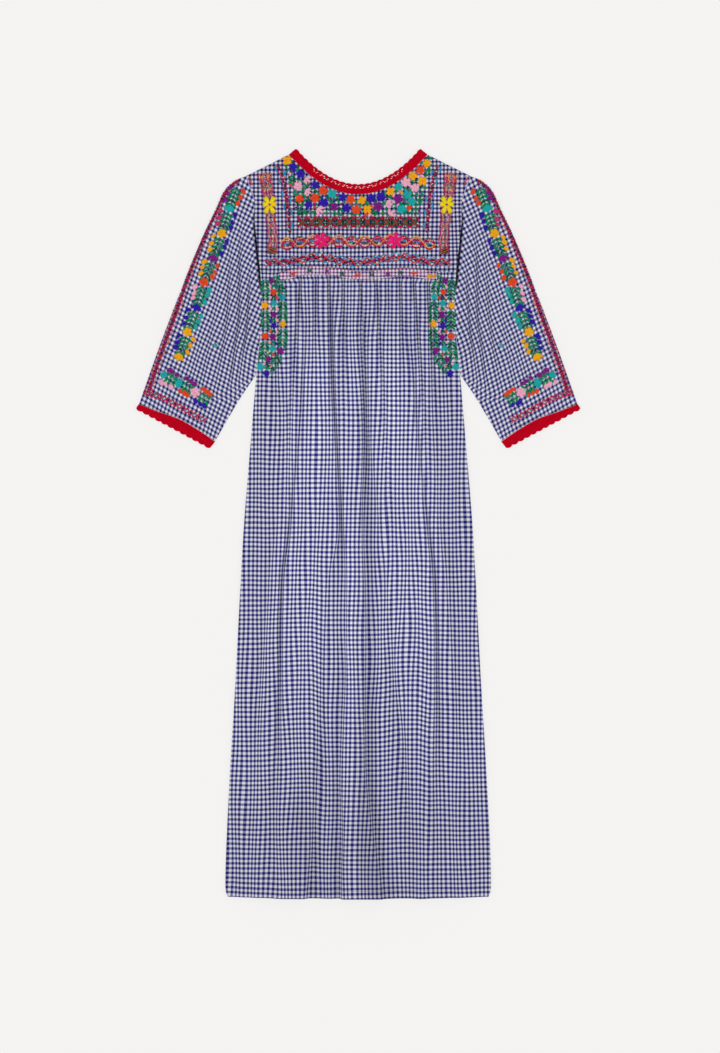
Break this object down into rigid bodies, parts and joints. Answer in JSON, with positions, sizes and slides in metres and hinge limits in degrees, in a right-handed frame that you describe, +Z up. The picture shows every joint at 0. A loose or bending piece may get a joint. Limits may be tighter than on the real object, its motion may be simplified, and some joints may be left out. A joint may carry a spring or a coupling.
{
  "type": "midi dress",
  "caption": "Gathered midi dress with a square yoke, elbow sleeves and scalloped crochet edging at neck and cuffs, laid face up.",
  "frame": {"origin": "centre of the dress's bounding box, on the surface that it lies on", "axes": "+X across the dress to the viewer's right, +Y from the hem to the neck, +Z up out of the surface, so the front faces +Z"},
  "size_m": [0.7118, 1.2008, 0.0204],
  "materials": {
    "gingham": "plain woven cotton in navy and off-white checks, matt",
    "smocking": "the same cotton, finely pleated and oversewn in pink thread",
    "crochet": "crimson cotton crochet, matt, with a soft lustre on the stitches",
    "thread": "stranded embroidery cotton in twelve colours, satin lustre"
  },
  "bodies": {
    "root": {"skirt_back": "gingham", "skirt_front": "gingham", "yoke_back": "gingham", "yoke_front": "gingham", "smocked_band": "smocking", "neck_edging_back": "crochet", "neck_edging_front": "crochet", "sleeve_left": "gingham", "sleeve_right": "gingham", "cuff_edging_left": "crochet", "cuff_edging_right": "crochet"}
  },
  "joints": []
}
